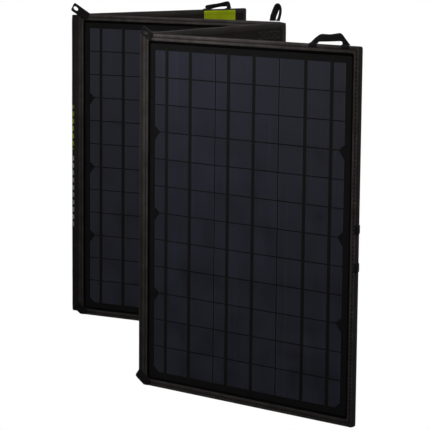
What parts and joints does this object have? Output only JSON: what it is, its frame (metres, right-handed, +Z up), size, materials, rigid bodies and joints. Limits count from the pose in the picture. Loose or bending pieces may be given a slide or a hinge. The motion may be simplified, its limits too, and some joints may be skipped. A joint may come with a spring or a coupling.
{
  "type": "folding solar panel kit",
  "caption": "Folding fabric solar kit standing in a zigzag: stitched cell panels joined by fabric folds, with webbing handles, corner tabs and a rear junction box.",
  "frame": {"origin": "centre of the whole kit's box, on the surface that the panels' bottom edges stand on", "axes": "+Z up; +Y is the longer way across the zigzag and -Y is the side that the first panel's cells face; +X to the right seen from there"},
  "size_m": [0.435, 1.029, 0.5325],
  "materials": {
    "cover_fabric": "woven nylon, slightly coated",
    "gusset_fabric": "woven nylon edge band",
    "border_fabric": "woven nylon, folded and stitched",
    "spine_fabric": "woven nylon with plain printed bars",
    "stiffener": "matt polypropylene board",
    "potting": "potting compound",
    "lead": "insulated flat lead",
    "laminate": "black laminate, satin film",
    "cell": "dark blue-black silicon under film",
    "ribbon": "dark coated ribbon",
    "webbing": "ribbed nylon webbing",
    "label": "woven yellow-green label",
    "box_plastic": "fine-textured moulding",
    "screw": "blackened steel",
    "gland": "soft moulded rubber",
    "terminal_board": "circuit board"
  },
  "bodies": {
    "panel_1": {"back_cover_1": "cover_fabric", "side_gusset_1": "gusset_fabric", "stiffener_board_1": "stiffener", "terminal_cap_1": "potting", "flat_leads_1": "lead", "laminate_1": "laminate", "cells_1": "cell", "tabbing_ribbons_1": "ribbon", "window_border_1": "border_fabric", "fold_webs_1": "gusset_fabric", "handle_feet_1": "webbing", "corner_tabs_1": "webbing", "side_loop_feet_1": "webbing"},
    "panel_2": {"back_cover_2": "cover_fabric", "side_gusset_2": "gusset_fabric", "stiffener_board_2": "stiffener", "terminal_cap_2": "potting", "flat_leads_2": "lead", "laminate_2": "laminate", "cells_2": "cell", "tabbing_ribbons_2": "ribbon", "window_border_2": "border_fabric", "fold_webs_2": "gusset_fabric", "fold_spine_12": "spine_fabric"},
    "panel_3": {"back_cover_3": "cover_fabric", "side_gusset_3": "gusset_fabric", "stiffener_board_3": "stiffener", "terminal_cap_3": "potting", "flat_leads_3": "lead", "laminate_3": "laminate", "cells_3": "cell", "tabbing_ribbons_3": "ribbon", "window_border_3": "border_fabric", "fold_webs_3": "gusset_fabric", "corner_tabs_3": "webbing", "fold_spine_23": "spine_fabric", "fold_spine_34": "spine_fabric"},
    "panel_4": {"back_cover_4": "cover_fabric", "side_gusset_4": "gusset_fabric", "stiffener_board_4": "stiffener", "terminal_cap_4": "potting", "flat_leads_4": "lead", "laminate_4": "laminate", "cells_4": "cell", "tabbing_ribbons_4": "ribbon", "window_border_4": "border_fabric", "fold_webs_4": "gusset_fabric", "handle_feet_4": "webbing", "woven_label_4": "label", "box_patch_4": "cover_fabric", "box_tray_4": "box_plastic", "box_lid_4": "box_plastic", "box_screws_4": "screw", "cable_outlet_4": "gland", "box_terminals_4": "terminal_board"},
    "top_handle_1": {"handle_1": "webbing"},
    "top_handle_4": {"handle_4": "webbing"},
    "top_loop_3": {"fold_loop_3": "webbing"},
    "side_loop": {"side_loop_1": "webbing"}
  },
  "joints": [
    {"name": "fold_12", "type": "hinge", "parent": "panel_2", "child": "panel_1", "pos_m": [-0.07275, -0.2636, 0.254], "axis": [0, 0, -1], "range_deg": [-97, 83], "deforming": ["fold_spine_12"]},
    {"name": "fold_23", "type": "hinge", "parent": "panel_2", "child": "panel_3", "pos_m": [0.1251, 0.05887, 0.254], "axis": [0, 0, -1], "range_deg": [-86, 94], "deforming": ["fold_spine_23"]},
    {"name": "fold_34", "type": "hinge", "parent": "panel_3", "child": "panel_4", "pos_m": [-0.19958, 0.25324, 0.254], "axis": [0, 0, 1], "range_deg": [-71, 109], "deforming": ["fold_spine_34"]},
    {"name": "top_handle_1", "type": "hinge", "parent": "panel_1", "child": "top_handle_1", "pos_m": [0.17499, -0.47801, 0.5095], "axis": [-0.766, 0.6428, 0], "range_deg": [-60, 60], "stiffness_Nm_per_rad": 0.02},
    {"name": "top_handle_4", "type": "hinge", "parent": "panel_4", "child": "top_handle_4", "pos_m": [0.02744, 0.46828, 0.5095], "axis": [-0.7431, -0.6691, 0], "range_deg": [-88, 32], "stiffness_Nm_per_rad": 0.02},
    {"name": "top_loop_3", "type": "hinge", "parent": "panel_3", "child": "top_loop_3", "pos_m": [0.11154, 0.07175, 0.5095], "axis": [-0.8746, 0.4848, 0], "range_deg": [-60, 60], "stiffness_Nm_per_rad": 0.02},
    {"name": "side_loop", "type": "hinge", "parent": "panel_1", "child": "side_loop", "pos_m": [0.21644, -0.5064, 0.242], "axis": [0, 0, -1], "range_deg": [0, 150], "stiffness_Nm_per_rad": 0.02}
  ]
}
